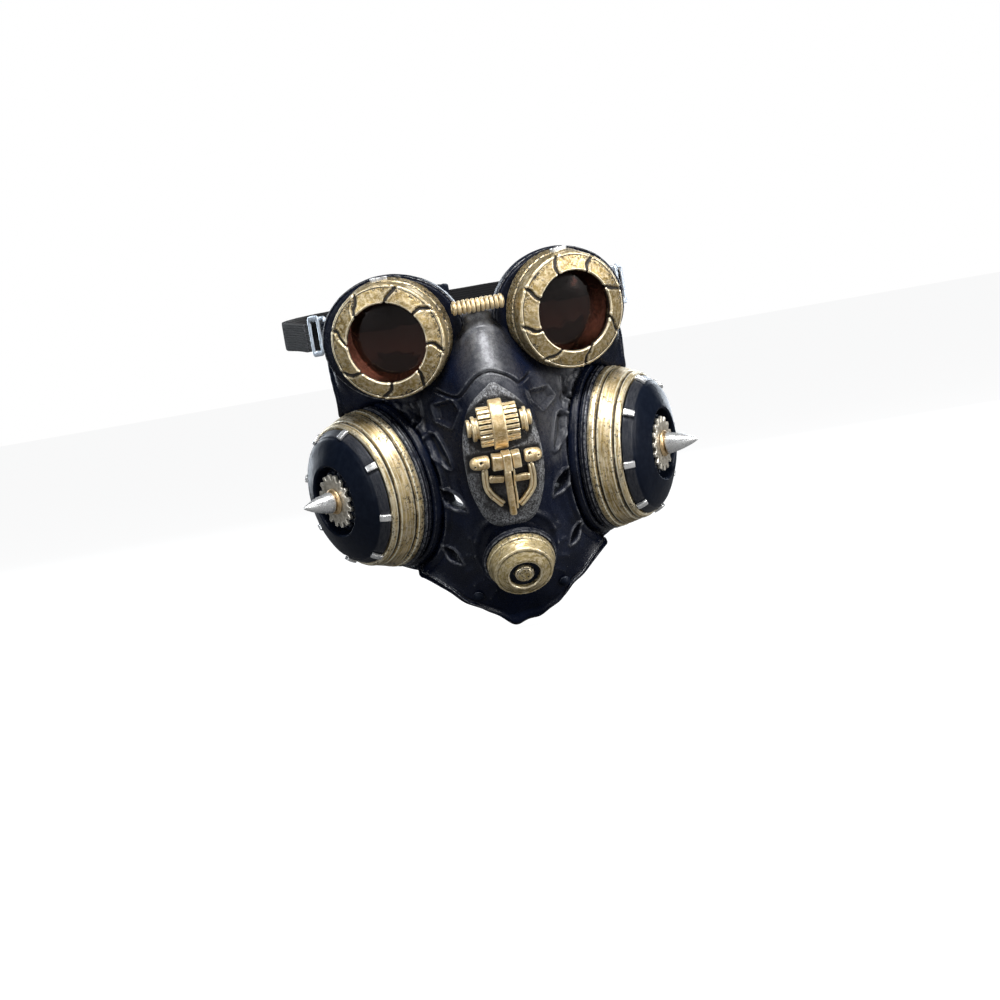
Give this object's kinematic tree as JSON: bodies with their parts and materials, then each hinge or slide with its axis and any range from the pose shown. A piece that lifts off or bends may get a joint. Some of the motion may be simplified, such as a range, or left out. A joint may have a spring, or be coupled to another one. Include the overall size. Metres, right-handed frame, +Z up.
{
  "type": "steampunk gas mask",
  "caption": "Steampunk half gas mask with goggles, side canisters with spikes, a chin valve and an elastic head strap, worn over the face.",
  "frame": {"origin": "middle of the wearer's head at the height of the goggle centres, on the mask's mid-plane", "axes": "+Z up, the mask faces -Y, +X to the right as seen from the front; left and right in names are as seen from the front"},
  "size_m": [0.1718, 0.2194, 0.1579],
  "materials": {
    "black_rubber": "semi-gloss black rubber",
    "antique_brass": "antique brass paint dry-brushed over black",
    "pale_brass": "pale worn brass paint",
    "grey_leather": "grey leather-textured rubber with silver dry-brush",
    "silver": "bright silver metallised",
    "steel": "bright steel wire",
    "smoked_lens": "smoked brown transparent film",
    "dark_paint": "dark charcoal paint",
    "elastic": "black woven elastic"
  },
  "bodies": {
    "mask": {"face_shell": "black_rubber", "bridge_tube": "antique_brass", "nose_plaque": "grey_leather", "roller_band": "antique_brass", "clasp_block": "antique_brass", "clasp_tongue": "antique_brass", "bail": "antique_brass", "bail_crossbar": "antique_brass", "valve_seat": "antique_brass", "valve_socket": "black_rubber", "valve_cover": "antique_brass", "valve_ring": "dark_paint", "valve_boss": "pale_brass", "head_strap": "elastic", "goggle_housing_left": "black_rubber", "goggle_bezel_left": "antique_brass", "goggle_lens_left": "smoked_lens", "goggle_clip_left": "silver", "roller_drum_left": "antique_brass", "roller_end_cap_left": "antique_brass", "hinge_end_left": "antique_brass", "hinge_collar_left": "antique_brass", "chin_rivet_left": "dark_paint", "canister_flange_left": "black_rubber", "canister_gasket_left": "black_rubber", "canister_band_left": "antique_brass", "strap_tab_left": "black_rubber", "goggle_housing_right": "black_rubber", "goggle_bezel_right": "antique_brass", "goggle_lens_right": "smoked_lens", "goggle_clip_right": "silver", "roller_drum_right": "antique_brass", "roller_end_cap_right": "antique_brass", "hinge_end_right": "antique_brass", "hinge_collar_right": "antique_brass", "chin_rivet_right": "dark_paint", "canister_flange_right": "black_rubber", "canister_gasket_right": "black_rubber", "canister_band_right": "antique_brass", "strap_tab_right": "black_rubber"},
    "cap_left": {"canister_cap_left": "dark_paint", "cap_lugs_left": "silver", "cog_rear_left": "dark_paint", "spike_collar_left": "antique_brass", "spike_left": "silver", "spike_screw_left": "steel"},
    "cog_wheel_left": {"cog_left": "pale_brass"},
    "loop_left": {"strap_loop_left": "steel", "strap_tail_left": "elastic"},
    "cap_right": {"canister_cap_right": "dark_paint", "cap_lugs_right": "silver", "cog_rear_right": "dark_paint", "spike_collar_right": "antique_brass", "spike_right": "silver", "spike_screw_right": "steel"},
    "cog_wheel_right": {"cog_right": "pale_brass"},
    "loop_right": {"strap_loop_right": "steel", "strap_tail_right": "elastic"},
    "slider": {"strap_slider": "dark_paint"}
  },
  "joints": [
    {"name": "cap_twist_right", "type": "hinge", "parent": "mask", "child": "cap_right", "pos_m": [0.0523, -0.0528, -0.0612], "axis": [0.8858, -0.4513, -0.108], "range_deg": [0, 40]},
    {"name": "cog_spin_right", "type": "hinge", "parent": "cap_right", "child": "cog_wheel_right", "pos_m": [0.0523, -0.0528, -0.0612], "axis": [0.8858, -0.4513, -0.108], "continuous": true},
    {"name": "loop_swing_right", "type": "hinge", "parent": "mask", "child": "loop_right", "pos_m": [0.0626, -0.0535, 0.0076], "axis": [0, 0, 1], "range_deg": [-25, 8]},
    {"name": "cap_twist_left", "type": "hinge", "parent": "mask", "child": "cap_left", "pos_m": [-0.0523, -0.0528, -0.0612], "axis": [-0.8858, -0.4513, -0.108], "range_deg": [0, 40]},
    {"name": "cog_spin_left", "type": "hinge", "parent": "cap_left", "child": "cog_wheel_left", "pos_m": [-0.0523, -0.0528, -0.0612], "axis": [-0.8858, -0.4513, -0.108], "continuous": true},
    {"name": "loop_swing_left", "type": "hinge", "parent": "mask", "child": "loop_left", "pos_m": [-0.0626, -0.0535, 0.0076], "axis": [0, 0, 1], "range_deg": [-8, 25]},
    {"name": "slider_slide", "type": "slide", "parent": "mask", "child": "slider", "axis": [1, 0, 0], "range_m": [-0.018, 0.018]}
  ]
}
